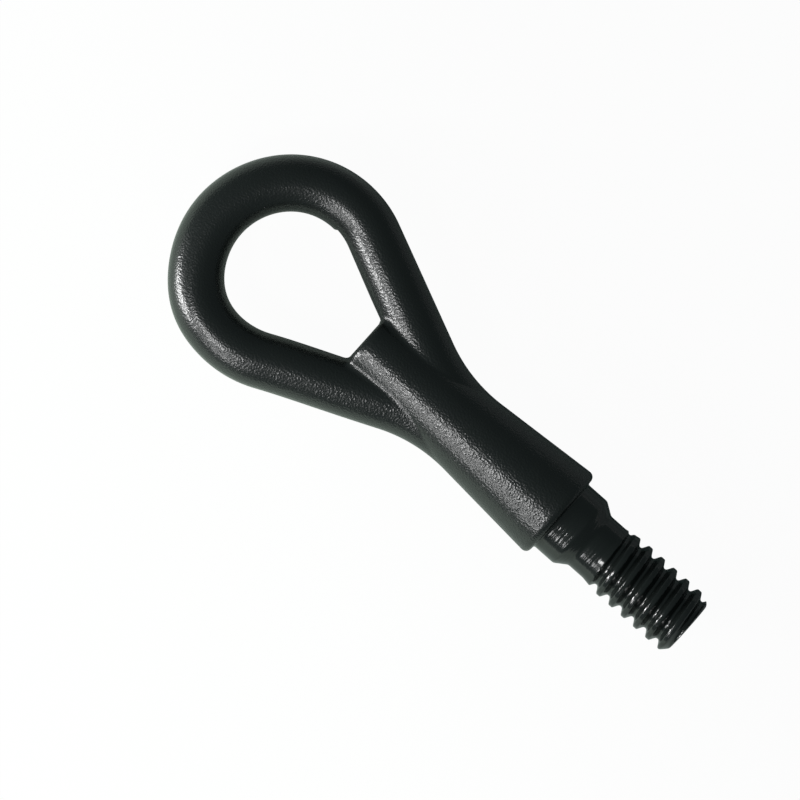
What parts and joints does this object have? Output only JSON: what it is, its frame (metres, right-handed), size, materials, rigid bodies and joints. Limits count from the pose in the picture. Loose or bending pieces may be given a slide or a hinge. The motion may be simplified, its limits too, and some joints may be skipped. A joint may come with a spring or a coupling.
{
  "type": "tow eye",
  "caption": "Screw-in tow eye: a round bar bent to a closed eye on a tapered shank, with a shoulder, a pilot and a coarse right-hand thread.",
  "frame": {"origin": "centre of the shoulder that seats against the car, on the axis of the thread", "axes": "+X along the thread, towards its tip; the eye lies in the XY plane; +Z square to the eye"},
  "size_m": [0.1632, 0.0602, 0.0258],
  "materials": {
    "coated_forging": "satin black coat with a fine grain on the forged faces, smoother on the turned end"
  },
  "bodies": {
    "root": {"tow_eye": "coated_forging"}
  },
  "joints": []
}
